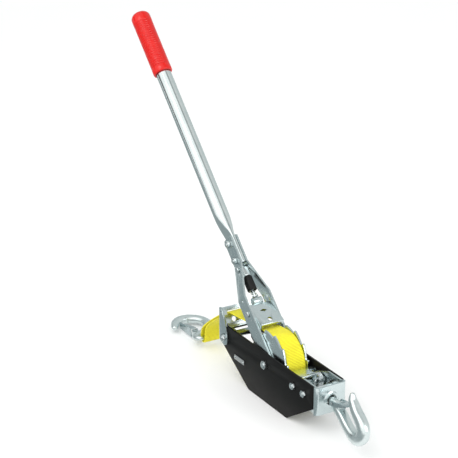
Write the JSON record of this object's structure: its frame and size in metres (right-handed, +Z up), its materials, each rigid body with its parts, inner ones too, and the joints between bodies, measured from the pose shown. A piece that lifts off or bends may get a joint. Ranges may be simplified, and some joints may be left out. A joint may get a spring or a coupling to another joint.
{
  "type": "come along winch",
  "caption": "Hand ratchet puller with a lever, ratchet drum, webbing strap, strap hook and swivelling anchor hook.",
  "frame": {"origin": "on the floor under the middle of the part's box; the drum axle is 109 mm forward and 63.8 mm up", "axes": "+X forward along the frame towards the anchor hook, +Y across to the far side plate, +Z up"},
  "size_m": [0.6931, 0.0748, 0.5171],
  "materials": {
    "zinc_plate": "bright zinc plated sheet steel, slightly blue",
    "forged_zinc": "zinc plated forging, softly mottled",
    "latch_sheet": "zinc plated thin sheet",
    "black_paint": "semi-matt black powder coat",
    "bright_steel": "bright zinc plated fasteners",
    "spring_steel": "drawn spring wire",
    "black_sleeve": "matt black moulded sleeve",
    "red_grip": "dipped red vinyl with fine ribs",
    "yellow_webbing": "ribbed polyester webbing",
    "label_metal": "blank anodised label"
  },
  "bodies": {
    "winch_frame": {"side_plate_near": "black_paint", "side_plate_far": "black_paint", "front_yoke": "zinc_plate", "rear_guide": "zinc_plate", "drum_axle": "bright_steel", "drum_axle_nut": "bright_steel", "pawl_bolt": "bright_steel", "pawl_bolt_nut": "bright_steel", "spring_bolt": "bright_steel", "spring_bolt_nut": "bright_steel", "guide_bolt": "bright_steel", "guide_bolt_nut": "bright_steel", "pawl_spacer": "bright_steel", "spring_bush": "bright_steel", "stop_spacer": "bright_steel", "guide_spacer": "bright_steel", "label_plate": "label_metal", "label_rivet_rear": "bright_steel", "label_rivet_front": "bright_steel", "torsion_spring": "spring_steel", "strap_run": "yellow_webbing"},
    "drum": {"ratchet_wheel_near": "zinc_plate", "ratchet_wheel_far": "zinc_plate", "drum_hub": "bright_steel", "strap_roll": "yellow_webbing"},
    "lever": {"lever_arm_near": "zinc_plate", "lever_arm_far": "zinc_plate", "handle_tube": "zinc_plate", "grip": "red_grip", "handle_bolt_1": "bright_steel", "handle_bolt_1_nut": "bright_steel", "handle_bolt_2": "bright_steel", "handle_bolt_2_nut": "bright_steel", "drive_pawl_pin": "bright_steel", "plunger_pin": "bright_steel"},
    "drive_pawl": {"drive_pawl": "zinc_plate"},
    "plunger": {"plunger_rod": "bright_steel", "plunger_sleeve": "black_sleeve", "plunger_spring": "spring_steel"},
    "holding_pawl": {"holding_pawl": "zinc_plate"},
    "hook_seat": {"hook_washer": "bright_steel"},
    "anchor_hook": {"anchor_hook": "forged_zinc", "hook_nut": "bright_steel", "anchor_latch_pin": "bright_steel"},
    "anchor_latch": {"anchor_latch": "latch_sheet"},
    "strap_tail": {"strap_tail": "yellow_webbing"},
    "strap_hook": {"strap_hook": "forged_zinc", "strap_latch_pin": "bright_steel"},
    "strap_latch": {"strap_latch": "latch_sheet"}
  },
  "joints": [
    {"name": "drum_spin", "type": "hinge", "parent": "winch_frame", "child": "drum", "pos_m": [0.109, 0, 0.0638], "axis": [0, 1, 0], "continuous": true},
    {"name": "lever_swing", "type": "hinge", "parent": "winch_frame", "child": "lever", "pos_m": [0.109, 0, 0.0638], "axis": [0, 1, 0], "range_deg": [-3, 87]},
    {"name": "drive_pawl_tilt", "type": "hinge", "parent": "lever", "child": "drive_pawl", "pos_m": [0.0495, 0, 0.12309], "axis": [0, 1, 0], "range_deg": [-34, 5.5], "stiffness_Nm_per_rad": 0.05},
    {"name": "plunger_swing", "type": "hinge", "parent": "lever", "child": "plunger", "pos_m": [-0.00292, 0, 0.17533], "axis": [0, 1, 0], "range_deg": [-2.5, 12]},
    {"name": "holding_pawl_tilt", "type": "hinge", "parent": "winch_frame", "child": "holding_pawl", "pos_m": [0.189, 0, 0.0631], "axis": [0, 1, 0], "range_deg": [-8.5, 4.5], "stiffness_Nm_per_rad": 0.3},
    {"name": "hook_droop", "type": "hinge", "parent": "winch_frame", "child": "hook_seat", "pos_m": [0.2475, 0, 0.0588], "axis": [0, -1, 0], "range_deg": [0, 22]},
    {"name": "hook_swivel", "type": "hinge", "parent": "hook_seat", "child": "anchor_hook", "pos_m": [0.2475, 0, 0.0588], "axis": [0.9661, -0.0663, -0.2496], "continuous": true},
    {"name": "anchor_latch_swing", "type": "hinge", "parent": "anchor_hook", "child": "anchor_latch", "pos_m": [0.26245, -0.00044, 0.0607], "axis": [-0.0421, -0.994, 0.1012], "range_deg": [-24, 0], "stiffness_Nm_per_rad": 0.02, "springref_deg": 20.05},
    {"name": "strap_bend", "type": "hinge", "parent": "winch_frame", "child": "strap_tail", "pos_m": [-0.01883, 0, 0.09829], "axis": [0, 1, 0], "range_deg": [0, 40]},
    {"name": "strap_hook_swing", "type": "hinge", "parent": "strap_tail", "child": "strap_hook", "pos_m": [-0.1043, 0, 0.0192], "axis": [0, 1, 0], "range_deg": [0, 60]},
    {"name": "strap_latch_swing", "type": "hinge", "parent": "strap_hook", "child": "strap_latch", "pos_m": [-0.1455, -0.007, 0.0093], "axis": [0, 0, 1], "range_deg": [-22, 0], "stiffness_Nm_per_rad": 0.02, "springref_deg": 20.05}
  ],
  "couplings": [
    {"joint": "plunger_swing", "follows": "drive_pawl_tilt", "ratio": -0.33}
  ]
}
